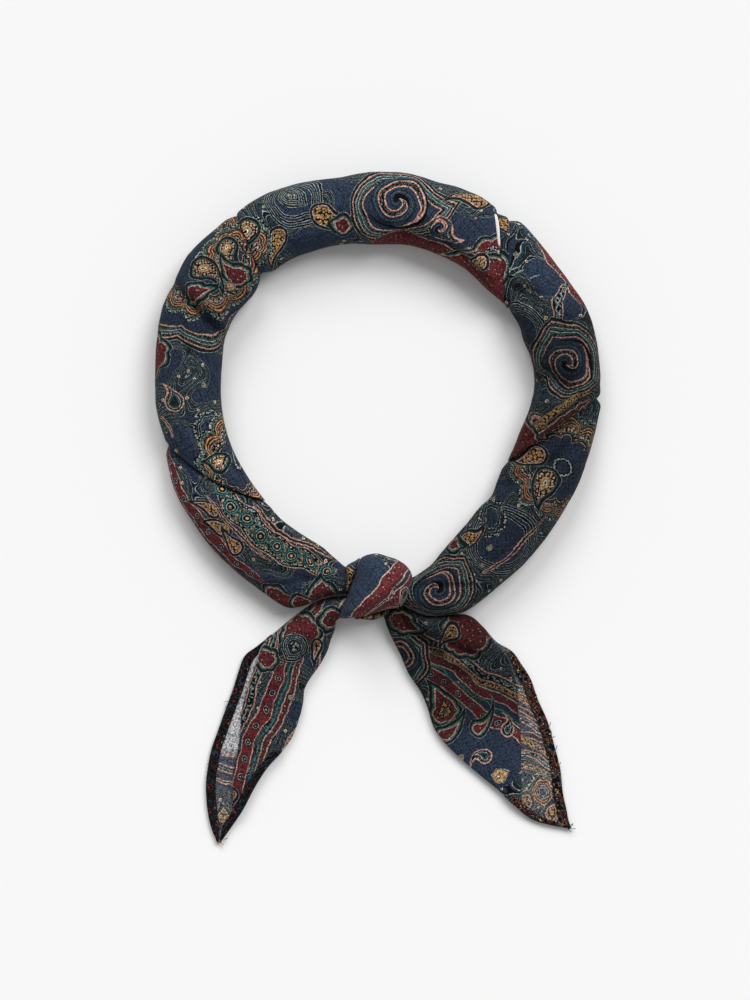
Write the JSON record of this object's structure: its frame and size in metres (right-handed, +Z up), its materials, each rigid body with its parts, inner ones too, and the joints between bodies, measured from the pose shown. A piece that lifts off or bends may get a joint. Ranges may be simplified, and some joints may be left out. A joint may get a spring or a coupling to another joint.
{
  "type": "bandana",
  "caption": "Printed voile bandana, rolled on the diagonal, knotted into a ring and laid flat with two pointed hemmed ends.",
  "frame": {"origin": "under the middle of the outline, on the table that the bandana lies on", "axes": "+X to the right and +Y from the pointed ends to the top of the ring, as seen from above; +Z up"},
  "size_m": [0.1878, 0.2828, 0.0274],
  "materials": {
    "printed_voile": "matt printed voile, navy ground with a paisley print",
    "printed_voile_end": "matt printed voile, two layers of it",
    "printed_voile_single": "matt printed voile, one sheer layer",
    "turned_hem": "turned and stitched hem of the same voile",
    "label_tape": "plain white woven tape"
  },
  "bodies": {
    "root": {"band_top": "printed_voile", "band_tuck": "printed_voile", "band_upper_right": "printed_voile", "band_lower_right": "printed_voile", "band_left": "printed_voile", "band_lower_left": "printed_voile", "knot_wrap": "printed_voile", "knot_strip": "printed_voile", "knot_roll": "printed_voile", "end_left_back": "printed_voile_single", "end_left_front": "printed_voile_end", "end_left_hem": "turned_hem", "end_left_tip_hem": "turned_hem", "end_right_back": "printed_voile_single", "end_right_front": "printed_voile_end", "end_right_hem": "turned_hem", "end_right_tip_hem": "turned_hem", "label_tape": "label_tape"}
  },
  "joints": []
}
